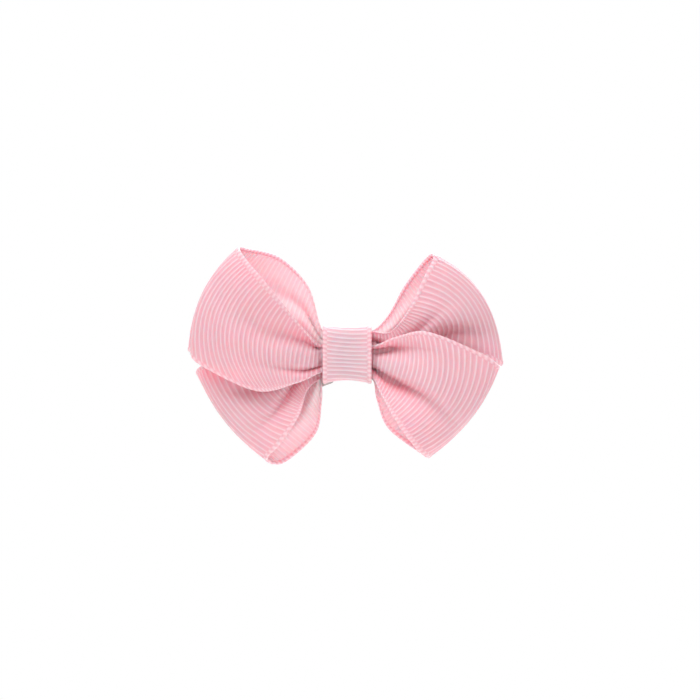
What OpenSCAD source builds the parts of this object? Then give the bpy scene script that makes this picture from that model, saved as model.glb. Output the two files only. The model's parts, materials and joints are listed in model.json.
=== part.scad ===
// Hair bow of pleated grosgrain ribbon on a toothed alligator hair clip.
// +X is to the viewer's right, +Z is up and the bow's face looks along -Y.
// The origin is in the mouth of the clip, straight behind the knot.

/* [Bow] */
// Overall width of the bow, loop end to loop end
bow_w = 63.5; // [54:0.5:80]
// Overall height of the bow, loop corner to loop corner
bow_h = 44.5; // [38:0.5:56]
// How far a loop puffs out from its flat back layer to its front
loop_depth = 10; // [8:0.5:13]

/* [Loop ribbon] */
// Thickness of the ribbon, with its ribs
ribbon_t = 0.5; // [0.4:0.05:0.7]
// Thickness of one gathered layer inside the knot
gather_t = 1.0; // [0.8:0.05:1.3]
// Height of the gathered ribbon where it enters the knot
pinch_h = 10.4; // [8:0.2:13]

/* [Knot] */
// Width of the narrow knot ribbon
knot_w = 10; // [8:0.5:13]
// Thickness of the knot ribbon
knot_t = 0.4; // [0.3:0.05:0.6]
// Diameter of the binding thread under the knot
thread_d = 0.4; // [0.3:0.05:0.6]
// Turns of the binding thread
thread_turns = 4; // [3:1:6]
// Thickness of the glue pad between bow and clip
glue_t = 0.4; // [0.3:0.05:0.8]

/* [Clip] */
// Slope of the clip across the back of the bow, in degrees
clip_tilt = 20; // [0:1:24]
// Length of the clip from its pivot to its tip
clip_front = 30; // [24:0.5:36]
// Length of the clip from its pivot to the end of its finger tabs
clip_tail = 12.5; // [10:0.5:16]
// Width of the upper blade, under the knot
blade_w = 6.6; // [5.5:0.1:8]
// How much wider the blade is on each side at its ears
ear_flare = 0.5; // [0.3:0.1:1]
// Width of the toothed prong
prong_w = 5; // [4:0.1:6.4]
// Thickness of the sheet steel
steel_t = 0.6; // [0.5:0.05:0.8]
// Thickness of the ribbon that lines the blade
lining_t = 0.35; // [0.3:0.05:0.5]
// Diameter of the pivot pin
pin_d = 1.2; // [1:0.1:1.6]
// Diameter of the spring wire
wire_d = 0.5; // [0.4:0.05:0.7]
// Turns of the spring
spring_turns = 7; // [4:1:8]
// Slope of the lower finger tab, in degrees
tab_slope = 20; // [15:1:26]
// Teeth along each edge of the prong
tooth_count = 9; // [6:1:11]

/* [Hidden] */

gap = 0.06;                 // clearance between pieces that lie against each other
turn_gap = 0.05;            // running clearance round the pin and beside the ears
pinch_x = knot_w / 2;       // where the gathered ribbon leaves the knot
pitch = gather_t + gap;     // layer spacing inside the knot

// Depth of each gathered layer, from the face of the bow to its back
front_face_y = -2.5 * pitch;
front_end_a_y = front_face_y + pitch;
front_end_b_y = front_face_y + 2 * pitch;
rear_face_y = front_face_y + 3 * pitch;
rear_end_a_y = front_face_y + 4 * pitch;
rear_end_b_y = front_face_y + 5 * pitch;

// Stack behind the gathered layers: thread, glue, lining, blade, lining, knot ribbon
bundle_y = 3 * pitch + gap;
thread_back_y = bundle_y + thread_d + gap;
glue_y = thread_back_y;
lining_y = glue_y + glue_t + gap;
blade_y = lining_y + lining_t + gap;
blade_back_y = blade_y + steel_t;
under_lining_y = blade_back_y + gap;
knot_inside_y = under_lining_y + lining_t + gap;
knot_back_y = knot_inside_y + knot_t;
tail_y = knot_back_y + gap;
grip_y = tail_y + knot_t;   // the hair lies on the back of the knot

// Knot ribbon: it clears the gathered bow and the sloping blade at its own edges
blade_reach_z = (blade_w / 2) / cos(clip_tilt) + (knot_w / 2) * tan(clip_tilt);
knot_in_z = max(pinch_h / 2, blade_reach_z) + 3 * gap;
knot_out_z = knot_in_z + knot_t;
knot_in_y = front_face_y - gather_t / 2 - thread_d - 2 * gap;

// Clip: pivot, ears, jaw and tabs
coil_r = pin_d / 2 + turn_gap + wire_d;
spring_clear = 0.6;         // between the spring's coil and the blade
pivot_y = blade_back_y + coil_r + spring_clear;
ear_r = 1.7;
pin_head_t = 0.4;
ear_z = blade_w / 2 + ear_flare;
jaw_ear_z = ear_z + turn_gap;
clip_half_w = jaw_ear_z + steel_t;
jaw_y = pivot_y + max(coil_r + 0.35, ear_r + 0.2);
tooth_h = 1;
mouth_y = under_lining_y + lining_t + gap;
tip_y = mouth_y + tooth_h;
// The ears start clear of the knot's edge, whatever the slope of the clip
pivot_back = (knot_w / 2 + ear_z * sin(clip_tilt) + 0.5) / cos(clip_tilt) + ear_r;
pivot_x = -pivot_back;
tip_x = pivot_x + clip_front;
tail_x = pivot_x - clip_tail;
wing_x = pivot_x + 5.6;      // where the jaw's wide part ends
bend_x = pivot_x - 3.4;      // where its finger tab bends away
arm_slope = atan((jaw_y - tip_y) / (tip_x - wing_x));
tab_half_w = 4;

// A station across a loop is [top edge, bottom edge, bulge of the rib between them].
// x is a share of the way from the knot to the loop's end, z a share of half the
// height, and depth a share of the puff, forward of the ribbon's back plane.
LEFT_UPPER = [
  [[0.16, 0.52, 0.25], [0.17, 0.48, -0.25], [0.04, 0.04, 0]],
  [[0.43, 0.90, 0.66], [0.50, 0.66, -0.33], [0.19, 0.08, 0.01]],
  [[0.59, 0.82, 0.89], [0.92, 0.56, -0.10], [0.13, 0.04, 0.05]],
  [[0.63, 0.58, 0.97], [1.00, 0.36,  0.01], [0.07, 0, 0.05]],
  [[0.58, 0.36, 0.97], [0.98, 0.18,  0.04], [0.06, 0, 0.04]],
  [[0.34, 0.14, 0.89], [0.60, 0.00,  0.06], [0.04, -0.06, 0.02]],
  [[0.12, 0.04, 0.61], [0.22, 0.00,  0.03], [0.02, -0.03, 0.01]]];
RIGHT_LOWER = [
  [[0.17, 0.52, 0.16], [0.10, 0.48, -0.38], [0.04, 0.04, -0.01]],
  [[0.43, 0.80, 0.21], [0.19, 0.76, -0.62], [0.14, 0.08, -0.05]],
  [[0.84, 0.58, 0.01], [0.34, 0.70, -0.86], [0.12, 0.04, -0.07]],
  [[0.96, 0.36, -0.09], [0.42, 0.48, -0.93], [0.07, 0, -0.05]],
  [[0.92, 0.18, -0.09], [0.39, 0.28, -0.92], [0.06, 0, -0.04]],
  [[0.55, 0.02, -0.05], [0.16, 0.10, -0.69], [0.04, -0.05, -0.04]],
  [[0.20, 0.00, -0.02], [0.05, 0.03, -0.42], [0.01, -0.02, -0.01]]];
LEFT_LOWER = [
  [[0.18, 0.40, -0.06], [0.13, 0.48, -0.33], [0.03, 0.05, -0.02]],
  [[0.51, 0.50, -0.07], [0.18, 0.74, -0.56], [0.10, 0.10, -0.08]],
  [[0.85, 0.44, -0.08], [0.32, 0.76, -0.81], [0.07, 0.06, -0.07]],
  [[0.96, 0.24, -0.13], [0.40, 0.48, -0.99], [0.06, 0, -0.05]],
  [[0.91, 0.06, -0.16], [0.32, 0.20, -0.99], [0.04, 0, -0.03]],
  [[0.55, 0.00, -0.19], [0.07, 0.06, -0.76], [0.03, -0.04, -0.03]],
  [[0.22, 0.00, -0.13], [0.01, 0.02, -0.46], [0.01, -0.02, -0.01]]];
RIGHT_UPPER = [
  [[0.15, 0.44, 0.22], [0.18, 0.34, 0.06], [0.02, 0.12, 0.01]],
  [[0.32, 0.64, 0.43], [0.51, 0.40, 0.08], [0.13, 0.26, 0.05]],
  [[0.45, 0.68, 0.74], [0.85, 0.40, 0.02], [0.10, 0.10, 0.09]],
  [[0.48, 0.52, 0.92], [0.96, 0.22, -0.04], [0.11, 0, 0.10]],
  [[0.44, 0.32, 0.92], [0.92, 0.08, -0.01], [0.09, 0, 0.08]],
  [[0.24, 0.12, 0.65], [0.57, 0.00, 0.05], [0.04, -0.06, 0.04]],
  [[0.12, 0.04, 0.37], [0.20, 0.00, 0.06], [0.01, -0.02, 0.01]]];

function place(p, side, back_y) =
  [side * (pinch_x + p[0] * (bow_w / 2 - pinch_x)), back_y - p[1] * loop_depth, p[2] * bow_h / 2];
function bulge(p, side) = [side * p[0] * (bow_w / 2 - pinch_x), -p[1] * loop_depth, p[2] * bow_h / 2];
function loop_stations(list, side, back_y) =
  [for (s = list) [place(s[0], side, back_y), place(s[1], side, back_y), bulge(s[2], side)]];
// A gathered station inside the knot, from z_low to z_high as shares of half the pinch
function gathered(x, y, z_high, z_low) =
  [[x, y, z_high * pinch_h / 2], [x, y, z_low * pinch_h / 2], [0, 0, 0]];
function reversed(list) = [for (i = [len(list) - 1:-1:0]) list[i]];

// One strip: back end, first loop from back to front, across the knot, second loop, back end
function strip_stations(first, second, sides, back_y, depths, pinches) = concat(
  [gathered(-sides * (pinch_x - 1.6), depths[1], pinches[3][0], pinches[3][1])],
  [gathered(sides * pinch_x, depths[1], pinches[1][0], pinches[1][1])],
  reversed(loop_stations(first, sides, back_y)),
  [gathered(sides * pinch_x, depths[0], pinches[0][0], pinches[0][1])],
  [gathered(-sides * pinch_x, depths[0], pinches[2][0], pinches[2][1])],
  loop_stations(second, -sides, back_y),
  [gathered(-sides * pinch_x, depths[2], pinches[3][0], pinches[3][1])],
  [gathered(sides * (pinch_x - 1.6), depths[2], pinches[1][0], pinches[1][1])]);

// Smooth curve through the stations
function blend4(a, b, c, d, t) =
  0.5 * (2 * b + (c - a) * t + (2 * a - 5 * b + 4 * c - d) * t * t + (3 * b - a - 3 * c + d) * t * t * t);
function station_at(list, i, t) = let (last = len(list) - 1)
  [for (k = [0:2]) blend4(list[max(i - 1, 0)][k], list[i][k], list[i + 1][k],
                          list[min(i + 2, last)][k], t)];
steps = 4;
cols = 8;
function rib(s) = [for (j = [0:cols]) let (w = j / cols, v = 2 * w - 1)
  s[0] * w + s[1] * (1 - w) + s[2] * (1 - v * v)];
function grid(list) = let (last = len(list) - 2) concat(
  [for (i = [0:last], k = [0:steps - 1]) rib(station_at(list, i, k / steps))],
  [rib(list[last + 1])]);
function unit(v) = v / max(norm(v), 1e-6);
function normal(g, i, j) = let (n = len(g) - 1)
  unit(cross(g[min(i + 1, n)][j] - g[max(i - 1, 0)][j], g[i][min(j + 1, cols)] - g[i][max(j - 1, 0)]));
function thickness(p) = let (out = max(0, abs(p[0]) - pinch_x))
  ribbon_t + (gather_t - ribbon_t) * exp(-pow(out / 1.6, 2));

// A sheet of ribbon: the grid, thickened to both sides, closed at its edges and ends
module ribbon(stations) {
  g = grid(stations);
  n = len(g);
  m = cols + 1;
  skins = [for (side = [1, -1], i = [0:n - 1], j = [0:cols])
    g[i][j] + side * thickness(g[i][j]) / 2 * normal(g, i, j)];
  far = n * m;
  top = [for (i = [0:n - 2], j = [0:cols - 1]) let (a = i * m + j)
    each [[a, a + 1, a + m], [a + 1, a + m + 1, a + m]]];
  under = [for (f = top) [f[0] + far, f[2] + far, f[1] + far]];
  sides = [for (i = [0:n - 2], j = [0, cols]) let (a = i * m + j, b = a + m)
    each (j == 0 ? [[a, b, a + far], [b, b + far, a + far]]
                 : [[a, a + far, b], [b, a + far, b + far]])];
  ends = [for (i = [0, n - 1], j = [0:cols - 1]) let (a = i * m + j, b = a + 1)
    each (i == 0 ? [[a, a + far, b], [b, a + far, b + far]]
                 : [[a, b, a + far], [b, b + far, a + far]])];
  polyhedron(skins, concat(top, under, sides, ends));
}

module placed() { translate([0, -grip_y, 0]) children(); }
module on_clip() { placed() rotate([0, -clip_tilt, 0]) children(); }

// Ribbon in front: upper left loop, over the middle, lower right loop
module front_ribbon() {
  color("lightpink") placed()
    ribbon(strip_stations(LEFT_UPPER, RIGHT_LOWER, -1, front_end_b_y + 0.2,
                          [front_face_y, front_end_a_y, front_end_b_y],
                          [[0.38, -0.70], [0.94, -0.12], [0.38, -0.88], [0.12, -0.94]]));
}

// Ribbon behind: lower left loop, over the middle, upper right loop
module rear_ribbon() {
  color("pink") placed()
    ribbon(strip_stations(LEFT_LOWER, RIGHT_UPPER, -1, rear_end_b_y,
                          [rear_face_y, rear_end_a_y, rear_end_b_y],
                          [[-0.12, -0.92], [-0.24, -0.94], [0.92, 0.10], [0.94, 0.16]]));
}

// Block along X whose front corners (-Y) are rounded by r_front and back ones by r_back
module rounded_block(front, back, half_z, r_front, r_back, length) {
  rotate([90, 0, 90]) linear_extrude(height = length, center = true) {
    translate([front + r_front, -half_z]) square([back - r_back - front - r_front, 2 * half_z]);
    translate([front, r_front - half_z]) square([back - front, 2 * (half_z - r_front)]);
    translate([(front + back) / 2, r_back - half_z]) square([(back - front) / 2, 2 * (half_z - r_back)]);
    for (side = [-1, 1]) {
      translate([front + r_front, side * (half_z - r_front)]) circle(r = r_front, $fn = 48);
      translate([back - r_back, side * (half_z - r_back)]) circle(r = r_back, $fn = 32);
    }
  }
}

// Narrow ribbon wrapped round the gathered middle and the blade
module knot_ribbon() {
  r_front = 2.2;
  r_back = 0.3;
  color("lightpink") placed() difference() {
    rounded_block(knot_in_y - knot_t, knot_back_y, knot_out_z, r_front + knot_t, r_back + knot_t, knot_w);
    rounded_block(knot_in_y, knot_inside_y, knot_in_z, r_front, r_back, knot_w + 1);
  }
}

// Free end of the knot ribbon, glued down over its start at the back
module knot_ribbon_tail() {
  color("lightpink") placed() translate([-knot_w / 2, tail_y, -knot_in_z * 0.35])
    cube([knot_w, knot_t, knot_in_z * 0.9]);
}

// Thread wound round the gathered ribbons, a squarish coil along X
module binding_thread() {
  r = thread_d / 2;
  lead = thread_d * 1.35;
  half_y = (bundle_y - (front_face_y - gather_t / 2)) / 2 + r;
  mid_y = (bundle_y + front_face_y - gather_t / 2) / 2;
  half_z = pinch_h / 2 * 0.88;
  per_turn = 28;
  corner = 0.35;
  function bend(c) = sign(c) * pow(abs(c), corner);
  path = [for (i = [0:thread_turns * per_turn]) let (a = 360 * i / per_turn)
    [(i / per_turn - thread_turns / 2) * lead, mid_y + half_y * bend(cos(a)), half_z * bend(sin(a))]];
  color("mistyrose") placed() tube(path, r, 6);
}

// Round tube along a list of points
module tube(path, r, sides) {
  n = len(path);
  rings = [for (i = [0:n - 1]) let (
      along = unit(path[min(i + 1, n - 1)] - path[max(i - 1, 0)]),
      across = unit(cross(along, abs(along[0]) > 0.9 ? [0, 0, 1] : [1, 0, 0])),
      other = cross(along, across))
    each [for (k = [0:sides - 1]) let (a = 360 * k / sides) path[i] + r * (cos(a) * across + sin(a) * other)]];
  walls = [for (i = [0:n - 2], k = [0:sides - 1]) let (a = i * sides + k, b = i * sides + (k + 1) % sides)
    each [[a, a + sides, b], [b, a + sides, b + sides]]];
  caps = [[for (k = [0:sides - 1]) k], [for (k = [sides - 1:-1:0]) (n - 1) * sides + k]];
  polyhedron(rings, concat(walls, caps));
}

// Dab of hot glue between the bow and the lined blade
module glue_pad() {
  color("gainsboro") placed() translate([0, glue_y, 0]) rotate([-90, 0, 0])
    cylinder(h = glue_t, r = min(blade_w, knot_w) / 2 - 0.4, $fn = 48);
}

// Plan outline of a strip of the clip, square at one end and round at the other
module strip(from_x, to_x, half_from, half_to) {
  r = half_to;
  dir = sign(to_x - from_x);
  round_x = to_x - dir * r;
  polygon([[from_x, half_from], [round_x, half_to], [round_x, -half_to], [from_x, -half_from]]);
  translate([round_x, 0]) circle(r = r, $fn = 48);
}
// Stands a plan outline (x along the clip, y across it) at depth y, t thick
module plate(y, t) {
  translate([0, y + t, 0]) rotate([90, 0, 0]) linear_extrude(height = t) children();
}
// Stands a side view (x along the clip, y its depth) from z_low to z_high across it
module side_view(z_low, z_high) { translate([0, 0, z_low]) linear_extrude(height = z_high - z_low) children(); }

// Ribbon glued over the blade, round its tip and back under it
module blade_lining() {
  half = blade_w / 2;
  lining_from = pivot_x - clip_tail + 3;
  under_from = pivot_x + ear_r + 1;
  lining_tip = tip_x + 0.5 + lining_t;
  color("pink") on_clip() {
    plate(lining_y, lining_t) strip(lining_from, lining_tip, half, 2.6);
    plate(under_lining_y, lining_t) strip(under_from, lining_tip, half, 2.6);
    side_view(-1.2, 1.2) translate([lining_tip - lining_t, lining_y])
      square([lining_t, under_lining_y + lining_t - lining_y]);
  }
}

// Upper blade: flat strip with a round thumb tab, a narrow tip and two ears for the pin
module clip_blade() {
  color("silver") on_clip() {
    plate(blade_y, steel_t) {
      strip(pivot_x, tip_x, blade_w / 2, 2.4);
      strip(pivot_x, tail_x, ear_z, tab_half_w);
      translate([pivot_x - ear_r, -ear_z]) square([2 * ear_r, 2 * ear_z]);
    }
    for (side = [-1, 1]) difference() {
      side_view(side > 0 ? ear_z - steel_t : -ear_z, side > 0 ? ear_z : steel_t - ear_z) {
        translate([pivot_x, pivot_y]) circle(r = ear_r, $fn = 48);
        translate([pivot_x - ear_r, blade_y + steel_t / 2]) square([2 * ear_r, pivot_y - blade_y - steel_t / 2]);
      }
      pin_hole();
    }
  }
}
module pin_hole() {
  translate([pivot_x, pivot_y, 0]) cylinder(h = 2 * clip_half_w + 2, r = pin_d / 2 + turn_gap, center = true, $fn = 48);
}

// Lower jaw: back plate with side walls for the pin, toothed prong and bent finger tab
module clip_jaw() {
  arm_end = tip_x - 0.3;
  wall_top = tail_y + knot_t + 0.2;
  color("gainsboro") on_clip() {
    plate(jaw_y, steel_t) polygon([
      [bend_x, clip_half_w], [wing_x - 1.5, clip_half_w], [wing_x + 0.6, prong_w / 2],
      [wing_x + 0.6, -prong_w / 2], [wing_x - 1.5, -clip_half_w], [bend_x, -clip_half_w]]);
    intersection() {
      side_view(-prong_w / 2, prong_w / 2) polygon([
        [wing_x, jaw_y], [arm_end, tip_y], [arm_end, tip_y + steel_t], [wing_x, jaw_y + steel_t]]);
      plate(mouth_y, jaw_y) strip(wing_x - 1, arm_end, prong_w / 2 + 0.1, 2.2);
    }
    for (i = [0:tooth_count - 1]) tooth(i);
    intersection() {
      drop = (bend_x - tail_x) * tan(tab_slope);
      side_view(-clip_half_w - 1, clip_half_w + 1) polygon([
        [bend_x, jaw_y], [tail_x, jaw_y + drop], [tail_x, jaw_y + drop + steel_t / cos(tab_slope)],
        [bend_x, jaw_y + steel_t], [bend_x + 0.2, jaw_y + steel_t], [bend_x + 0.2, jaw_y]]);
      plate(jaw_y - 1, drop + 3) strip(bend_x + 1, tail_x, clip_half_w, tab_half_w);
    }
    for (side = [-1, 1]) difference() {
      side_view(side > 0 ? jaw_ear_z : -clip_half_w, side > 0 ? clip_half_w : -jaw_ear_z) {
        translate([pivot_x, pivot_y]) circle(r = ear_r, $fn = 48);
        polygon([[bend_x, jaw_y + steel_t / 2], [pivot_x - ear_r, pivot_y], [pivot_x + ear_r, pivot_y],
                 [pivot_x + ear_r + 0.4, wall_top], [wing_x - 1.5, wall_top + 0.5],
                 [wing_x - 1.5, jaw_y + steel_t / 2]]);
      }
      pin_hole();
    }
  }
}
// One pair of teeth, standing from the prong's two edges towards the blade
module tooth(i) {
  first = knot_w / 2 / cos(clip_tilt) + blade_w / 2 * tan(clip_tilt) + 0.8;
  step = (tip_x - 2.4 - first) / tooth_count;
  x = first + step * i;
  y = jaw_y - (x - wing_x) * tan(arm_slope);
  for (side = [-1, 1])
    side_view(side > 0 ? prong_w / 2 - steel_t : -prong_w / 2, side > 0 ? prong_w / 2 : steel_t - prong_w / 2)
      polygon([[x, y + steel_t / 2], [x + step / 2, y - tooth_h + gap], [x + step, y + steel_t / 2]]);
}

// Rivet that both pairs of ears turn on
module pivot_pin() {
  color("silver") on_clip() translate([pivot_x, pivot_y, 0]) {
    cylinder(h = 2 * clip_half_w + 2 * turn_gap + pin_head_t, d = pin_d, center = true, $fn = 48);
    for (side = [-1, 1]) translate([0, 0, side * (clip_half_w + turn_gap + pin_head_t / 2)])
      cylinder(h = pin_head_t, r = pin_d / 2 + 0.5, center = true, $fn = 48);
  }
}

// Torsion spring: a coil round the pin, one leg under the blade's tab, one on the jaw's
module torsion_spring() {
  r = wire_d / 2;
  coil = pin_d / 2 + turn_gap + r;
  lead = wire_d * 1.06;
  per_turn = 16;
  leg = clip_tail * 0.5;
  blade_leg = asin((spring_clear - gap) / leg);
  jaw_leg = 5;
  first = blade_leg - 90;
  total = spring_turns * 360 + 180 - jaw_leg - blade_leg;
  count = ceil(total / 360 * per_turn);
  half = lead * total / 720;
  helix = [for (i = [0:count]) let (a = first + total * i / count)
    [coil * cos(a), coil * sin(a), -half + 2 * half * i / count]];
  on_blade = helix[0] - leg * [cos(blade_leg), sin(blade_leg), 0];
  on_bend = helix[count] + (pivot_x - bend_x - 0.1) * [-cos(jaw_leg), sin(jaw_leg), 0];
  on_tab = on_bend + (leg - 2) * [-cos(tab_slope), sin(tab_slope), 0];
  color("dimgray") on_clip() translate([pivot_x, pivot_y, 0])
    tube(concat([on_blade], helix, [on_bend, on_tab]), r, 8);
}

front_ribbon();
rear_ribbon();
binding_thread();
knot_ribbon();
knot_ribbon_tail();
glue_pad();
blade_lining();
clip_blade();
clip_jaw();
pivot_pin();
torsion_spring();
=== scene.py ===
import json
import math
import bpy
import numpy as np
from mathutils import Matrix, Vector


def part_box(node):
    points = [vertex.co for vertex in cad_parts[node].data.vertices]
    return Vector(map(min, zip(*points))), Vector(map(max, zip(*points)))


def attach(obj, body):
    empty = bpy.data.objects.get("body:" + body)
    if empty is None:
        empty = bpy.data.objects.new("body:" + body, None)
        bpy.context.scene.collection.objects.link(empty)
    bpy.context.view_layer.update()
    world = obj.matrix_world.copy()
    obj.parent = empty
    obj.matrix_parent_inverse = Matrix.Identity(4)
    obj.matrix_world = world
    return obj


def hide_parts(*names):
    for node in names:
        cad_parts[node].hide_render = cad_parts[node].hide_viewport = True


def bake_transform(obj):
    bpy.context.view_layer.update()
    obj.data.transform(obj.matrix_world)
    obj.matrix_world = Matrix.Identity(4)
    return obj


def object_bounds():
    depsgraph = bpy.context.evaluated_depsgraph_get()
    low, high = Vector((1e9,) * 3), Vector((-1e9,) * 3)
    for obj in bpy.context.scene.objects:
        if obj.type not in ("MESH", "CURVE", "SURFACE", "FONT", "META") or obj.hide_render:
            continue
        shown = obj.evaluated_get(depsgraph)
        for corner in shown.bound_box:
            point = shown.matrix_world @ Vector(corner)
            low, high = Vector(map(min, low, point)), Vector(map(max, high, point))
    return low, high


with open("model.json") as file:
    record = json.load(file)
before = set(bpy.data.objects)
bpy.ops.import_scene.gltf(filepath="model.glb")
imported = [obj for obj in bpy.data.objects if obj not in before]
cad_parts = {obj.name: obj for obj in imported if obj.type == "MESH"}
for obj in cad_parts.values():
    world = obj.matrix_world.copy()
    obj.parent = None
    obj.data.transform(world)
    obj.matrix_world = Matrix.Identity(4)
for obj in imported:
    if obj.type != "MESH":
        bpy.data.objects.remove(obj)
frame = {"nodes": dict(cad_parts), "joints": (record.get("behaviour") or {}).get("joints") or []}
cad_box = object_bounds()
MM = 0.001

# ---- Camera, floor and light -------------------------------------------------------
# The bow is seen square on, through a long lens, so its loops show little perspective.
# It is held up off a pale floor, as hair or a display card would hold it.
knot_low, knot_high = (np.array(c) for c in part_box("knot_ribbon"))
knot_mid = (knot_low + knot_high) / 2
VIEW_WIDTH = 143.5 * MM      # what the frame spans at the loops' middle plane
VIEW_RIGHT, VIEW_UP = 0.6 * MM, 1.0 * MM     # the view's middle, from the middle of the knot
CAMERA_DISTANCE = 0.75
loop_plane_y = cad_box[0][1] + 7 * MM

camera_data = bpy.data.cameras.new("camera")
camera_data.sensor_width = 36.0
camera_data.lens = camera_data.sensor_width * CAMERA_DISTANCE / VIEW_WIDTH
camera_data.clip_start = 0.01
camera = bpy.data.objects.new("camera", camera_data)
camera.location = (knot_mid[0] + VIEW_RIGHT, loop_plane_y - CAMERA_DISTANCE, knot_mid[2] + VIEW_UP)
camera.rotation_euler = (math.radians(90), 0, 0)
bpy.context.scene.collection.objects.link(camera)
bpy.context.scene.camera = camera
bpy.context.scene.view_settings.view_transform = "Standard"


def linear(code):
    """sRGB hex colour to the linear values that a shader takes."""
    parts = [int(code[i:i + 2], 16) / 255 for i in (1, 3, 5)]
    return [c / 12.92 if c <= 0.04045 else ((c + 0.055) / 1.055) ** 2.4 for c in parts] + [1.0]


def add_node(tree, kind, settings=None, **links):
    """Adds a shader node: settings by attribute or socket name, links by socket name."""
    made = tree.nodes.new(kind)
    for key, value in (settings or {}).items():
        if hasattr(made, key):
            setattr(made, key, value)
        else:
            made.inputs[key].default_value = value
    for key, source in links.items():
        tree.links.new(source, made.inputs[key.replace("_", " ")])
    return made


def new_material(name):
    """An empty material and its node tree."""
    material = bpy.data.materials.new(name)
    material.use_nodes = True
    material.node_tree.nodes.clear()
    return material, material.node_tree


def finish_material(tree, shader):
    """Joins the shader to the material's output."""
    add_node(tree, "ShaderNodeOutputMaterial", Surface=shader.outputs[0])


def mesh_piece(name, points, faces, material, uv=None):
    """A smooth mesh object from points, faces and, per point, a flat map in millimetres."""
    mesh = bpy.data.meshes.new(name)
    mesh.from_pydata([tuple(p) for p in points], [], [tuple(int(i) for i in f) for f in faces])
    mesh.materials.append(material)
    mesh.polygons.foreach_set("use_smooth", [True] * len(mesh.polygons))
    if uv is not None:
        corners = np.empty(len(mesh.loops), dtype=np.int32)
        mesh.loops.foreach_get("vertex_index", corners)
        layer = mesh.uv_layers.new(name="ribbon")
        layer.data.foreach_set("uv", np.asarray(uv)[corners].ravel())
    mesh.update()
    piece = bpy.data.objects.new(name, mesh)
    bpy.context.scene.collection.objects.link(piece)
    return piece


floor_material, tree = new_material("white_laminate")
finish_material(tree, add_node(tree, "ShaderNodeBsdfPrincipled", {
    "Base Color": linear("#F4F3F1"), "Roughness": 0.6, "Specular IOR Level": 0.3}))
FLOOR_HALF, FLOOR_DROP = 0.16, 0.105
floor = mesh_piece("floor", [(x * FLOOR_HALF, y * FLOOR_HALF, -FLOOR_DROP)
                             for x, y in ((-1, -1), (1, -1), (1, 1), (-1, 1))],
                   [(0, 1, 2, 3)], floor_material)

world = bpy.data.worlds.new("studio")
bpy.context.scene.world = world
world.use_nodes = True
tree = world.node_tree
tree.nodes.clear()
seen = add_node(tree, "ShaderNodeBackground", {"Color": (1, 1, 1, 1), "Strength": 1.0})
fill = add_node(tree, "ShaderNodeBackground", {"Color": linear("#FFFAF8"), "Strength": 0.67})
ray = add_node(tree, "ShaderNodeLightPath")
both = add_node(tree, "ShaderNodeMixShader")
tree.links.new(ray.outputs["Is Camera Ray"], both.inputs[0])
tree.links.new(fill.outputs[0], both.inputs[1])
tree.links.new(seen.outputs[0], both.inputs[2])
add_node(tree, "ShaderNodeOutputWorld", Surface=both.outputs[0])


def soft_box(name, place, size, watts):
    """A round diffused lamp that faces the bow."""
    light = bpy.data.lights.new(name, "AREA")
    light.shape = "DISK"
    light.size = size
    light.energy = watts
    lamp = bpy.data.objects.new(name, light)
    lamp.location = place
    lamp.rotation_euler = (-Vector(place)).to_track_quat("-Z", "Y").to_euler()
    bpy.context.scene.collection.objects.link(lamp)


soft_box("key_light", (-0.35, -0.5, 0.85), 0.7, 6.2)
soft_box("right_fill", (0.65, -0.75, 0.15), 0.6, 1.3)
soft_box("back_light", (0.15, 0.75, 0.6), 0.6, 8.5)


# ---- Loop ribbons ------------------------------------------------------------------
# Two strips of 25 mm polyester grosgrain, each folded to a flat figure of eight, laid
# crosswise and pleated at the middle. Grosgrain has heavy weft cords, so it is ribbed
# across its width on both faces, and its selvedges are a tight beaded edge.
EDGE_X = knot_high[0]
REACH = (cad_box[1][0] - cad_box[0][0]) / 2 - EDGE_X
HALF_HEIGHT = 22.25 * MM
HALF_PINCH = 5.2 * MM
PUFF = 10 * MM
THREAD_LAYER = 0.52 * MM     # spacing of the six gathered layers under the thread
EDGE_LAYER = 0.98 * MM       # and where they leave the knot
bundle_low, bundle_high = (np.array(c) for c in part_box("binding_thread"))
centre_y = (bundle_low[1] + bundle_high[1]) / 2
front_back_y = centre_y - 0.35 * MM
rear_back_y = centre_y + 2.6 * MM
RIB = 1.05 * MM              # spacing of the weft cords
ROWS_PER_RIB = 6
SHEET = 0.3 * MM             # thickness in the grooves
CORD = 0.13 * MM             # how far a cord stands out on each face
SELVEDGE = 0.95 * MM
WIDTH = 25 * MM
WARP = 0.19 * MM             # spacing of the fine warp threads, along the ribbon

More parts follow.
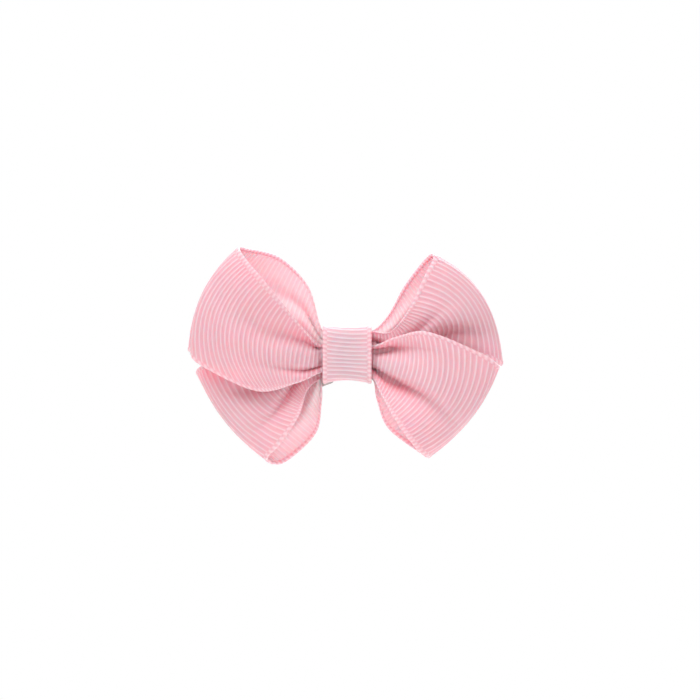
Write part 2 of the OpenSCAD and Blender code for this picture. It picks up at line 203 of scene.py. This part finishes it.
# Stations along each loop, from the knot round to the knot again: top edge, bottom
# edge and the bulge of the rib between them, as shares (reach, puff, half height).
UPPER_LEFT = [
    [[0.13, 0.44, 0.22], [0.20, 0.50, -0.26], [0.02, 0.04, 0.00]],
    [[0.43, 0.88, 0.66], [0.50, 0.70, -0.33], [0.19, 0.10, 0.01]],
    [[0.59, 0.82, 0.89], [0.92, 0.56, -0.10], [0.14, 0.05, 0.06]],
    [[0.63, 0.58, 0.98], [1.00, 0.36, 0.01], [0.09, 0.00, 0.07]],
    [[0.58, 0.34, 0.98], [0.98, 0.18, 0.04], [0.08, 0.00, 0.05]],
    [[0.33, 0.14, 0.90], [0.60, 0.00, 0.06], [0.04, -0.06, 0.02]],
    [[0.11, 0.04, 0.63], [0.22, 0.00, 0.03], [0.02, -0.03, 0.01]]]
LOWER_RIGHT = [
    [[0.20, 0.48, 0.17], [0.08, 0.44, -0.38], [0.03, 0.04, -0.01]],
    [[0.43, 0.80, 0.21], [0.19, 0.76, -0.62], [0.14, 0.10, -0.05]],
    [[0.84, 0.58, 0.01], [0.34, 0.70, -0.86], [0.12, 0.05, -0.07]],
    [[0.96, 0.36, -0.09], [0.42, 0.48, -0.93], [0.07, 0.00, -0.05]],
    [[0.92, 0.18, -0.09], [0.39, 0.28, -0.92], [0.06, 0.00, -0.04]],
    [[0.55, 0.02, -0.05], [0.13, 0.10, -0.68], [0.04, -0.05, -0.04]],
    [[0.20, 0.00, -0.02], [0.04, 0.03, -0.41], [0.01, -0.02, -0.01]]]
LOWER_LEFT = [
    [[0.16, 0.15, 0.20], [0.12, 0.46, -0.33], [0.03, 0.05, -0.02]],
    [[0.51, 0.50, -0.07], [0.18, 0.72, -0.56], [0.10, 0.10, -0.08]],
    [[0.85, 0.44, -0.08], [0.32, 0.76, -0.81], [0.07, 0.06, -0.07]],
    [[0.96, 0.24, -0.13], [0.42, 0.48, -0.96], [0.06, 0.00, -0.05]],
    [[0.91, 0.06, -0.16], [0.30, 0.18, -1.00], [0.04, 0.00, -0.03]],
    [[0.55, 0.00, 0.00], [0.06, 0.06, -0.74], [0.03, -0.04, -0.03]],
    [[0.20, 0.00, 0.28], [0.01, 0.02, -0.46], [0.01, -0.02, -0.01]]]
UPPER_RIGHT = [
    [[0.15, 0.44, 0.22], [0.20, 0.15, -0.20], [0.02, 0.12, 0.01]],
    [[0.29, 0.64, 0.43], [0.51, 0.40, 0.08], [0.13, 0.26, 0.05]],
    [[0.41, 0.68, 0.74], [0.85, 0.40, -0.02], [0.11, 0.10, 0.10]],
    [[0.47, 0.50, 0.89], [0.99, 0.22, -0.10], [0.12, 0.00, 0.12]],
    [[0.43, 0.28, 0.91], [0.95, 0.08, -0.08], [0.10, 0.00, 0.11]],
    [[0.26, 0.12, 0.65], [0.60, 0.00, -0.18], [0.04, -0.06, 0.04]],
    [[0.13, 0.04, 0.37], [0.22, 0.00, -0.30], [0.01, -0.02, 0.01]]]


def loop_stations(loop, side, back_y):
    """Places one loop's stations, side -1 to the left and 1 to the right."""
    placed = []
    for top, bottom, bulge in loop:
        rows = [[side * (EDGE_X + p[0] * REACH), back_y - p[1] * PUFF, p[2] * HALF_HEIGHT]
                for p in (top, bottom)]
        rows.append([side * bulge[0] * REACH, -bulge[1] * PUFF, bulge[2] * HALF_HEIGHT])
        placed.append(rows)
    return placed


def gathered(x, y, high, low):
    """A station in the gathers, its edges at shares of the gathers' half height."""
    return [[x, y, high * HALF_PINCH], [x, y, low * HALF_PINCH], [0, 0, 0]]


def strip_stations(left, right, back_y, layers, spans):
    """One ribbon: its back end, the left loop, the middle, the right loop, the other end."""
    face, end_a, end_b = layers
    left_face, left_back, right_face, right_back = spans
    lap = 1.5 * MM           # each end runs this far past the middle, under the thread

    def under_thread(x, layer):
        return gathered(x, centre_y + layer * THREAD_LAYER, 0.78, -0.78)

    def at_edge(side, layer, span):
        return gathered(side * EDGE_X, centre_y + layer * EDGE_LAYER, *span)
    return np.array(
        [under_thread(lap, end_a), under_thread(0, end_a), at_edge(-1, end_a, left_back)]
        + loop_stations(left, -1, back_y)[::-1]
        + [at_edge(-1, face, left_face), under_thread(0, face), at_edge(1, face, right_face)]
        + loop_stations(right, 1, back_y)
        + [at_edge(1, end_b, right_back), under_thread(0, end_b), under_thread(-lap, end_b)])


def smooth_line(stations, per_span=40):
    """Catmull-Rom curve through the stations, per_span points to each span."""
    padded = np.concatenate([stations[:1], stations, stations[-1:]])
    t = (np.arange(per_span) / per_span).reshape((-1,) + (1,) * (stations.ndim - 1))
    spans = [0.5 * (2 * b + (c - a) * t + (2 * a - 5 * b + 4 * c - d) * t ** 2
                    + (3 * b - a - 3 * c + d) * t ** 3)
             for a, b, c, d in zip(padded[:-3], padded[1:-2], padded[2:-1], padded[3:])]
    return np.concatenate(spans + [stations[-1:]])


def even_rows(dense, middle, step):
    """Re-spaces rows so that they lie a fixed length apart along the middle line."""
    length = np.concatenate([[0], np.cumsum(np.linalg.norm(np.diff(middle, axis=0), axis=1))])
    wanted = np.arange(int(length[-1] / step) + 1) * step
    flat = dense.reshape(len(dense), -1)
    rows = np.stack([np.interp(wanted, length, flat[:, k]) for k in range(flat.shape[1])], axis=1)
    return rows.reshape((-1,) + dense.shape[1:]), wanted


def across(width, columns):
    """Column places from edge to edge, -1 to 1, closer together along the selvedges."""
    inner = 1 - 2 * SELVEDGE / width
    edge = np.linspace(inner, 1, 6)[1:]
    return np.concatenate([-edge[::-1], np.linspace(-inner, inner, columns), edge])


def woven_strip(name, grid, length, v, width, rib, material, sheet=SHEET, cord_height=CORD, selvedge=True,
                inner=None):
    """A closed ribbed strip on a grid of points: cords, and beaded selvedges if they are uncut.

    inner, if given, is the material of the strip's second face.
    """
    along, over = np.gradient(grid, axis=0), np.gradient(grid, axis=1)
    normal = np.cross(along, over)
    normal /= np.linalg.norm(normal, axis=2, keepdims=True)
    over /= np.linalg.norm(over, axis=2, keepdims=True)
    cord = np.abs(np.cos(np.pi * length / rib))[:, None] ** 1.6
    bead = np.abs(np.sin(np.pi * length / rib))[:, None]
    edge = np.clip((np.abs(v) - (1 - 2 * SELVEDGE / width)) / (2 * SELVEDGE / width), 0, 1)[None]
    if not selvedge:
        edge = edge * 0
    relief = cord_height * (cord * (1 - edge) ** 0.7 + (0.5 + bead) * np.sin(np.pi * edge) ** 0.6)
    relief = relief - 0.6 * cord_height * np.exp(-((edge - 0.12) / 0.12) ** 2) * (edge > 0)
    grid = grid + over * (np.sign(v) * edge)[:, :, None] * (0.03 * MM * bead)[:, :, None]
    half = (sheet / 2 * (1 - 0.5 * (edge > 0.98)) + relief)[:, :, None]
    n, m = grid.shape[:2]
    points = np.concatenate([(grid + normal * half).reshape(-1, 3), (grid - normal * half).reshape(-1, 3)])
    index = np.arange(n * m).reshape(n, m)
    skin = np.stack([index[:-1, :-1], index[1:, :-1], index[1:, 1:], index[:-1, 1:]], axis=-1).reshape(-1, 4)
    rim = [np.stack([line[:-1], line[:-1] + n * m, line[1:] + n * m, line[1:]], axis=-1)
           for line in (index[:, 0], index[::-1, -1], index[0, ::-1], index[-1])]
    faces = np.concatenate([skin, skin[:, ::-1] + n * m] + rim)
    flat_map = np.stack(np.broadcast_arrays(length[:, None], v[None] * width / 2), axis=-1)
    flat_map = flat_map.reshape(-1, 2) / MM
    strip = mesh_piece(name, points, faces, material, np.concatenate([flat_map, flat_map]))
    if inner:
        strip.data.materials.append(inner)
        sides = np.zeros(len(faces), dtype=np.int32)
        sides[len(skin):2 * len(skin)] = 1
        strip.data.polygons.foreach_set("material_index", sides)
    return strip


PLEAT_DEPTH, PLEAT_PITCH, PLEAT_TOP = 1.6 * MM, 3.7 * MM, 1.5 * MM


def fold_wave(grid):
    """The pleats under the thread: all six layers fold in step, and open out past the knot's edge."""
    beyond = np.clip((np.abs(grid[:, :, 0]) - 1.5 * MM) / (EDGE_X - 1 * MM), 0, 1)
    fade = 1 - beyond ** 2 * (3 - 2 * beyond)
    return PLEAT_DEPTH * fade * np.cos(2 * np.pi * (grid[:, :, 2] - PLEAT_TOP) / PLEAT_PITCH)


CREASE_START = 1.2 * MM      # creases begin this far inside the knot's edge
CREASE_RUN = 12 * MM         # and reach their far place this far out


def crease(side, near, far, width, depth, peak, back_y, back=False, upper=1.0):
    """A pleat in the face or back of a loop, from place near at the knot to place far.

    Places are shares of the ribbon's half width. Its upper wall is upper times as wide as
    its lower wall, and it is deepest at the distance peak.
    """
    def sink(grid, v):
        out = side * grid[:, :, 0] - EDGE_X + CREASE_START
        place = near + (far - near) * np.clip(out / CREASE_RUN, 0, 1)
        swell = np.where(out > 0, out / peak * np.exp(1 - out / peak), 0)
        room = back_y - grid[:, :, 1]            # a face's pleat stops short of the loop's back
        past = room - 2 * MM if back else 2 * MM - room
        layer = 1 / (1 + np.exp(past / (0.4 * MM)))
        wall = np.where(v[None] > place, upper * width, width)
        fold = depth * swell * layer * np.exp(-((v[None] - place) / wall) ** 2)
        return fold if back else np.minimum(fold, 0.8 * np.clip(room, 0, None))
    return sink


def loop_ribbon(name, stations, creases, material, inner):
    """One ribbon's mesh and its cut length; inner is the cloth inside its loops, painted paler as painted
    light.
    """
    dense = smooth_line(stations)
    rows, length = even_rows(dense, (dense[:, 0] + dense[:, 1]) / 2 + dense[:, 2], RIB / ROWS_PER_RIB)
    v = across(WIDTH, 41)
    share = ((1 + v) / 2)[None, :, None]
    grid = rows[:, None, 0] * share + rows[:, None, 1] * (1 - share)
    grid = grid + rows[:, None, 2] * (1 - v ** 2)[None, :, None]
    grid[:, :, 1] += sum(fold(grid, v) for fold in creases) + fold_wave(grid)
    return woven_strip(name, grid, length, v, WIDTH, RIB, material, inner=inner), length[-1]


# Dyed polyester grosgrain is matt, with a soft sheen. The crest of each cord, where the warp lies
# over it, is painted lighter as a painted highlight. It is thin enough for light to pass, so folds
# that face one another glow a deeper pink.
def grosgrain(name, groove, crest_painted_highlight, rib, width):
    material, tree = new_material(name)
    place = add_node(tree, "ShaderNodeUVMap", {"uv_map": "ribbon"})
    split = add_node(tree, "ShaderNodeSeparateXYZ", Vector=place.outputs["UV"])
    band = math.pi / 10          # a wave texture's scale for bands one unit, here 1 mm, apart
    cords = add_node(tree, "ShaderNodeTexWave", {
        "wave_type": "BANDS", "bands_direction": "X", "Scale": band * MM / rib, "Phase Offset": math.pi,
        "Distortion": 0.0}, Vector=place.outputs["UV"])
    warp = add_node(tree, "ShaderNodeTexWave", {
        "wave_type": "BANDS", "bands_direction": "Y", "Scale": band * MM / WARP, "Distortion": 0.8,
        "Detail": 1.0, "Detail Scale": 2.0}, Vector=place.outputs["UV"])
    mottle = add_node(tree, "ShaderNodeTexNoise", {     # uneven dye, about 3 mm across
        "Scale": 0.35, "Detail": 5.0, "Roughness": 0.65}, Vector=place.outputs["UV"])
    # Painted highlight: each cord's crest is painted lighter than the groove tone, as if lit.
    cord_painted_highlight = add_node(tree, "ShaderNodeValToRGB", Fac=cords.outputs["Fac"])
    ramp = cord_painted_highlight.color_ramp.elements
    ramp[0].position, ramp[0].color = 0.7, linear(groove)
    ramp[1].position, ramp[1].color = 1.0, linear(crest_painted_highlight)
    # Painted highlight: the top of each selvedge bead is painted lighter than the tone between beads.
    beads = add_node(tree, "ShaderNodeTexWave", {
        "wave_type": "BANDS", "bands_direction": "X", "Scale": band * MM / rib, "Distortion": 0.0},
        Vector=place.outputs["UV"])
    bead_painted_highlight = add_node(tree, "ShaderNodeValToRGB", Fac=beads.outputs["Fac"])
    ramp = bead_painted_highlight.color_ramp.elements
    ramp[0].position, ramp[0].color = 0.1, linear("#F5B9C3")
    ramp[1].position, ramp[1].color = 0.9, linear("#FDD2D9")
    half_mm = width / 2 / MM
    off_middle = add_node(tree, "ShaderNodeMath", {"operation": "ABSOLUTE"}, Value=split.outputs["Y"])
    in_band = add_node(tree, "ShaderNodeMapRange", {
        "From Min": half_mm - SELVEDGE / MM, "From Max": half_mm - 0.85 * SELVEDGE / MM},
        Value=off_middle.outputs["Value"])
    banded = add_node(tree, "ShaderNodeMixRGB", Fac=in_band.outputs["Result"],
                      Color1=cord_painted_highlight.outputs["Color"], Color2=bead_painted_highlight.outputs["Color"])
    uneven = add_node(tree, "ShaderNodeMixRGB", {"blend_type": "SOFT_LIGHT", "Fac": 0.12},
                      Color1=banded.outputs["Color"], Color2=mottle.outputs["Color"])
    bump = add_node(tree, "ShaderNodeBump", {"Strength": 0.35, "Distance": 0.05 * MM},
                    Height=warp.outputs["Fac"])
    finish_material(tree, add_node(tree, "ShaderNodeBsdfPrincipled", {
        "Roughness": 0.55, "Specular IOR Level": 0.3, "Sheen Weight": 0.1, "Sheen Roughness": 0.4,
        "Subsurface Weight": 0.9, "Subsurface Radius": (1.0, 0.45, 0.5), "Subsurface Scale": 1.6 * MM},
        Base_Color=uneven.outputs["Color"], Normal=bump.outputs["Normal"]))
    return material


# The face turned to the inside of each loop is painted a shade paler than the outer one, as painted light for
# the light that falls into the loops.
loop_cloth = grosgrain("polyester_grosgrain_25mm", "#FBB7C2", "#FFD2D9", RIB, WIDTH)
loop_cloth_inside_painted_paler = grosgrain("polyester_grosgrain_inside_painted_paler", "#FDD3D8", "#FFE2E6", RIB, WIDTH)
front_ribbon, front_length = loop_ribbon(
    "front_ribbon_cloth",
    strip_stations(UPPER_LEFT, LOWER_RIGHT, front_back_y, (-2.5, -1.5, -0.5),
                   ((0.38, -0.70), (0.94, -0.12), (0.38, -0.88), (0.12, -0.94))),
    [crease(-1, 0.82, 0.35, 0.24, 2.8 * MM, 5.5 * MM, front_back_y),
     crease(-1, -0.58, -0.45, 0.15, 2.0 * MM, 3.6 * MM, front_back_y),
     crease(1, 0.72, 0.6, 0.3, 5.5 * MM, 2.8 * MM, front_back_y, upper=0.4),
     crease(1, -0.4, -0.3, 0.26, 6.5 * MM, 4.2 * MM, front_back_y, upper=0.35),
     crease(-1, 0.35, 0.3, 0.15, 1.4 * MM, 4.0 * MM, front_back_y, back=True),
     crease(-1, -0.25, -0.3, 0.15, 1.2 * MM, 4.0 * MM, front_back_y, back=True),
     crease(1, 0.3, 0.3, 0.15, 1.0 * MM, 4.0 * MM, front_back_y, back=True),
     crease(1, -0.35, -0.4, 0.15, 2.5 * MM, 4.0 * MM, front_back_y, back=True)],
    loop_cloth, loop_cloth_inside_painted_paler)
rear_ribbon, rear_length = loop_ribbon(
    "rear_ribbon_cloth",
    strip_stations(LOWER_LEFT, UPPER_RIGHT, rear_back_y, (0.5, 1.5, 2.5),
                   ((0.0, -0.92), (0.5, -0.94), (0.92, -0.1), (0.94, -0.5))),
    [crease(-1, 0.3, 0.4, 0.2, 2.4 * MM, 5.0 * MM, rear_back_y),
     crease(-1, -0.3, -0.5, 0.15, 2.2 * MM, 4.5 * MM, rear_back_y),
     crease(1, 0.3, 0.3, 0.16, 1.6 * MM, 4.0 * MM, rear_back_y),
     crease(1, -0.35, -0.6, 0.2, 3.0 * MM, 7.0 * MM, rear_back_y),
     crease(-1, 0.05, 0.05, 0.13, -1.4 * MM, 4.0 * MM, rear_back_y, back=True),
     crease(-1, -0.6, -0.6, 0.13, -1.4 * MM, 4.0 * MM, rear_back_y, back=True),
     crease(1, 0.0, 0.0, 0.13, -1.4 * MM, 4.0 * MM, rear_back_y, back=True),
     crease(1, 0.6, 0.6, 0.13, -1.4 * MM, 4.0 * MM, rear_back_y, back=True)],
    loop_cloth, loop_cloth_inside_painted_paler)
for piece, cad_node, cut in ((front_ribbon, "front_ribbon", front_length),
                             (rear_ribbon, "rear_ribbon", rear_length)):
    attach(piece, "bow")
    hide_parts(cad_node)


# ---- Knot ribbon -------------------------------------------------------------------
# A 10 mm length of the same grosgrain, wrapped round the gathered middle and the clip's
# blade. Its free end is glued down over its start at the back of the knot.
KNOT_RIB = 0.9 * MM
KNOT_WIDTH = round(knot_high[0] - knot_low[0], 5)
tail_low, tail_high = (np.array(c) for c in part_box("knot_ribbon_tail"))
inset = 0.2 * MM
wrap_front, wrap_back = knot_low[1] + inset, knot_high[1] - inset
wrap_low, wrap_high = knot_low[2] + inset, knot_high[2] - inset
tail_y = (tail_low[1] + tail_high[1]) / 2


def rounded_route(corners, per_corner=14):
    """An open route of straight runs, each inner corner (point, radius) rounded by an arc-like curve."""
    points = [np.array(corners[0][0])]
    for (before, _), (corner, radius), (after, _) in zip(corners[:-2], corners[1:-1], corners[2:]):
        before, corner, after = (np.array(p) for p in (before, corner, after))
        start = corner + (before - corner) / np.linalg.norm(before - corner) * radius
        end = corner + (after - corner) / np.linalg.norm(after - corner) * radius
        t = np.linspace(0, 1, per_corner)[:, None]
        points.extend((1 - t) ** 2 * start + 2 * t * (1 - t) * corner + t ** 2 * end)
    points.append(np.array(corners[-1][0]))
    return np.array(points)


route = rounded_route([
    ((wrap_back, wrap_high * 0.25), 0), ((wrap_back, wrap_low), 0.8 * MM), ((wrap_front, wrap_low), 2.2 * MM),
    ((wrap_front, wrap_high), 2.4 * MM), ((wrap_back, wrap_high), 0.9 * MM),
    ((wrap_back, tail_high[2] + 0.9 * MM), 0.6 * MM), ((tail_y, tail_high[2] - 0.3 * MM), 0.6 * MM),
    ((tail_y, tail_low[2]), 0)])
route, knot_length = even_rows(route, route, KNOT_RIB / 8)
v = across(KNOT_WIDTH, 25)
lean = -0.3 * MM * v - 0.25 * MM * (1 - v ** 2)      # the cords sag and slope a little across the knot
knot_rows = knot_length[(knot_length > -lean.min()) & (knot_length < knot_length[-1] - lean.max())]
reach_along = knot_rows[:, None] + lean[None]
grid = np.stack([np.broadcast_to(v * KNOT_WIDTH / 2, reach_along.shape),
                 np.interp(reach_along, knot_length, route[:, 0]),
                 np.interp(reach_along, knot_length, route[:, 1])], axis=-1)
waist = (1 - v ** 2)[None]
below, above = np.clip(-grid[:, :, 2] / wrap_high, 0, 1), np.clip(grid[:, :, 2] / wrap_high, 0, 1)
grid[:, :, 2] += waist * (0.75 * MM * below - 0.25 * MM * above)
knot_cloth = grosgrain("polyester_grosgrain_10mm", "#FBBFC9", "#FFD8DF", KNOT_RIB, KNOT_WIDTH)
knot = woven_strip("knot_ribbon_cloth", grid, knot_rows, v, KNOT_WIDTH, KNOT_RIB, knot_cloth)
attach(knot, "bow")
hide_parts("knot_ribbon", "knot_ribbon_tail")


# ---- Binding thread ----------------------------------------------------------------
# Pale polyester sewing thread, wound tight round the gathered ribbons before the knot
# goes on. Its twisted plies show as fine slanting lines, painted lighter and darker as
# painted light and shade.
def dress(node, material):
    """Gives a CAD node its material; its shape stays as packed."""
    part = frame["nodes"][node]
    part.data.materials.clear()
    part.data.materials.append(material)


PLY_PITCH = 0.25 * MM
thread_material, tree = new_material("polyester_sewing_thread")
place = add_node(tree, "ShaderNodeTexCoord")
ply = add_node(tree, "ShaderNodeTexWave", {
    "wave_type": "BANDS", "bands_direction": "DIAGONAL", "Scale": math.pi / 10 / PLY_PITCH,
    "Distortion": 1.0}, Vector=place.outputs["Object"])
ply_painted_light_and_shade = add_node(tree, "ShaderNodeValToRGB", Fac=ply.outputs["Fac"])
ply_painted_light_and_shade.color_ramp.elements[0].color = linear("#E9AEBB")
ply_painted_light_and_shade.color_ramp.elements[1].color = linear("#FADBE1")
twist = add_node(tree, "ShaderNodeBump", {"Strength": 0.6, "Distance": 0.05 * MM}, Height=ply.outputs["Fac"])
finish_material(tree, add_node(tree, "ShaderNodeBsdfPrincipled", {"Roughness": 0.5, "Sheen Weight": 0.3},
                               Base_Color=ply_painted_light_and_shade.outputs["Color"], Normal=twist.outputs["Normal"]))
dress("binding_thread", thread_material)


# ---- Glue --------------------------------------------------------------------------
# A dab of clear hot-melt glue between the gathered ribbons and the lined clip. It is
# milky, glossy and squeezed out to an uneven round edge.
def tube_faces(rings, sides):
    """Faces over rings of points laid one after another, with both ends closed."""
    walls = [(r * sides + k, r * sides + (k + 1) % sides,
              (r + 1) * sides + (k + 1) % sides, (r + 1) * sides + k)
             for r in range(rings - 1) for k in range(sides)]
    return walls + [tuple(range(sides - 1, -1, -1)), tuple(range((rings - 1) * sides, rings * sides))]


glue_low, glue_high = (np.array(c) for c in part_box("glue_pad"))
glue_mid = (glue_low + glue_high) / 2
glue_radius = (glue_high[0] - glue_low[0]) / 2
GLUE_SIDES = 48
rings = [(0.0, 0), (0.5, 0), (0.85, 0), (1.0, 0.35), (1.0, 0.65), (0.85, 1), (0.5, 1), (0.0, 1)]
points = []
for share, depth in rings:
    for k in range(GLUE_SIDES):
        turn = 2 * math.pi * k / GLUE_SIDES
        wobble = 1 + 0.05 * math.sin(3 * turn + 0.7) + 0.03 * math.sin(5 * turn) - 0.06
        radius = glue_radius * max(share, 0.02) * wobble
        points.append((glue_mid[0] + radius * math.cos(turn),
                       glue_low[1] + depth * (glue_high[1] - glue_low[1]),
                       glue_mid[2] + radius * math.sin(turn)))
faces = tube_faces(len(rings), GLUE_SIDES)
glue_material, tree = new_material("hot_melt_glue")
cloud = add_node(tree, "ShaderNodeTexNoise", {"Scale": 1 / (1.5 * MM), "Detail": 3.0},
                 Vector=add_node(tree, "ShaderNodeTexCoord").outputs["Object"])
milky = add_node(tree, "ShaderNodeValToRGB", Fac=cloud.outputs["Fac"])
milky.color_ramp.elements[0].color = linear("#E9E1D2")
milky.color_ramp.elements[1].color = linear("#F6F2EA")
finish_material(tree, add_node(tree, "ShaderNodeBsdfPrincipled", {
    "Roughness": 0.22, "Subsurface Weight": 0.6, "Subsurface Scale": 1.0 * MM, "IOR": 1.48},
    Base_Color=milky.outputs["Color"]))
glue = mesh_piece("glue_dab", points, faces, glue_material)
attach(glue, "bow")
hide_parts("glue_pad")


# ---- Clip blade, jaw and pin -------------------------------------------------------
# An alligator clip stamped from spring steel sheet and nickel plated. Rolling leaves the
# sheet with faint lengthwise lines, which give the plate an even satin gloss.
def lined_metal(name, tone, roughness, line_spacing):
    material, tree = new_material(name)
    place = add_node(tree, "ShaderNodeTexCoord")
    lines = add_node(tree, "ShaderNodeTexNoise", {"Scale": 1 / line_spacing, "Detail": 4.0, "Roughness": 0.7},
                     Vector=add_node(tree, "ShaderNodeMapping", {"Scale": (0.04, 1.0, 1.0)},
                                     Vector=place.outputs["Object"]).outputs["Vector"])
    rough = add_node(tree, "ShaderNodeMapRange", {"To Min": roughness - 0.03, "To Max": roughness + 0.05},
                     Value=lines.outputs["Fac"])
    bump = add_node(tree, "ShaderNodeBump", {"Strength": 0.1, "Distance": 0.01 * MM},
                    Height=lines.outputs["Fac"])
    finish_material(tree, add_node(tree, "ShaderNodeBsdfPrincipled", {
        "Base Color": linear(tone), "Metallic": 1.0},
        Roughness=rough.outputs["Result"], Normal=bump.outputs["Normal"]))
    return material


plate = lined_metal("nickel_plated_steel", "#BFBDB9", 0.3, 0.15 * MM)
for node in ("clip_blade", "clip_jaw", "pivot_pin"):
    dress(node, plate)


# ---- Blade lining ------------------------------------------------------------------
# Grosgrain trimmed to the blade's width, glued along its face, folded round the tip and
# back under it, so that the metal doesn't slip in the hair.
hinge = frame["joints"][0]
pivot = np.array(hinge["pos_m"])
across_clip = np.array(hinge["axis"])
along_clip = np.array((across_clip[2], 0, -across_clip[0]))
packed = np.array([v.co for v in frame["nodes"]["blade_lining"].data.vertices])
packed_along, packed_across, packed_y = packed @ along_clip, packed @ across_clip, packed[:, 1]
LINING_T = 0.35 * MM
TIP_RADIUS = 2.6 * MM
half_blade = np.abs(packed_across).max()
face_y, under_y = packed_y.min() + LINING_T / 2, packed_y.max() - LINING_T / 2
lining_start, lining_tip = packed_along.min(), packed_along.max() - LINING_T / 2
under_start = packed_along[packed_y > (face_y + under_y) / 2].min()
route = rounded_route([((lining_start, face_y), 0), ((lining_tip, face_y), 0.5 * MM),
                       ((lining_tip, under_y), 0.5 * MM), ((under_start, under_y), 0)])
route, lining_length = even_rows(route, route, RIB / 8)
tip_middle = packed_along.max() - TIP_RADIUS
tapered = half_blade + (TIP_RADIUS - half_blade) * np.clip(
    (route[:, 0] - lining_start) / (tip_middle - lining_start), 0, 1)
past_tip = np.clip(route[:, 0] - tip_middle, 0, None)
rounded = np.sqrt(np.clip(TIP_RADIUS ** 2 - past_tip ** 2, (1.2 * MM) ** 2, None))
half_width = np.minimum(tapered, rounded)
v = np.linspace(-1, 1, 25)
grid = (route[:, None, :1] * along_clip + route[:, None, 1:] * np.array((0, 1, 0))
        + (half_width[:, None] * v)[:, :, None] * across_clip)
lining = woven_strip("blade_lining_cloth", grid, lining_length, v, 2 * half_blade, RIB, loop_cloth,
                     sheet=0.2 * MM, cord_height=0.05 * MM, selvedge=False)      # pressed flat
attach(lining, "bow")
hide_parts("blade_lining")


# ---- Torsion spring ----------------------------------------------------------------
# Hard-drawn spring wire coiled round the pin, a shade darker than the plate and streaked
# by the drawing die.
# One straight leg pushes on the blade's tab and the other, bent, on the jaw's tab.
WIRE = 0.5 * MM
COIL_RADIUS = 0.9 * MM
TURNS = 7
LEG = 6.25 * MM
BLADE_LEG, JAW_LEG, TAB_SLOPE = math.radians(5), math.radians(5), math.radians(20)
BEND_DISTANCE = 3.3 * MM
sweep = TURNS * 2 * math.pi + math.pi - BLADE_LEG - JAW_LEG
coil_half = WIRE * 1.06 * sweep / (4 * math.pi)
turn = np.linspace(0, 1, TURNS * 28)
angle = BLADE_LEG - math.pi / 2 + sweep * turn
coil = np.stack([COIL_RADIUS * np.cos(angle), COIL_RADIUS * np.sin(angle),
                 coil_half * (2 * turn - 1)], axis=1)
reach_out = np.linspace(1, 0.1, 10)[:, None]
blade_leg = coil[0] - LEG * reach_out * np.array((math.cos(BLADE_LEG), math.sin(BLADE_LEG), 0))
bend = coil[-1] + BEND_DISTANCE * np.array((-math.cos(JAW_LEG), math.sin(JAW_LEG), 0))
jaw_leg = bend + (LEG - 2 * MM) * np.array((-math.cos(TAB_SLOPE), math.sin(TAB_SLOPE), 0))
jaw_run = np.concatenate([coil[-1] + (bend - coil[-1]) * np.linspace(0.1, 1, 8)[:, None],
                          bend + (jaw_leg - bend) * np.linspace(0.1, 1, 8)[:, None]])
path = np.concatenate([blade_leg, coil, jaw_run])
path = pivot + path[:, :1] * along_clip + path[:, 1:2] * np.array((0, 1, 0)) + path[:, 2:] * across_clip
heading = np.gradient(path, axis=0)
heading /= np.linalg.norm(heading, axis=1, keepdims=True)
side = np.cross(heading, across_clip)
side /= np.linalg.norm(side, axis=1, keepdims=True)
up = np.cross(heading, side)
SIDES = 14
ring = np.linspace(0, 2 * math.pi, SIDES, endpoint=False)[None, :, None]
skin = np.cos(ring) * side[:, None] + np.sin(ring) * up[:, None]
points = (path[:, None] + WIRE / 2 * skin).reshape(-1, 3)
faces = tube_faces(len(path), SIDES)
spring_wire = lined_metal("hard_drawn_spring_wire", "#A3A19D", 0.32, 0.08 * MM)
spring = mesh_piece("spring_wire_coil", points, faces, spring_wire)
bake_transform(spring)
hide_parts("torsion_spring")
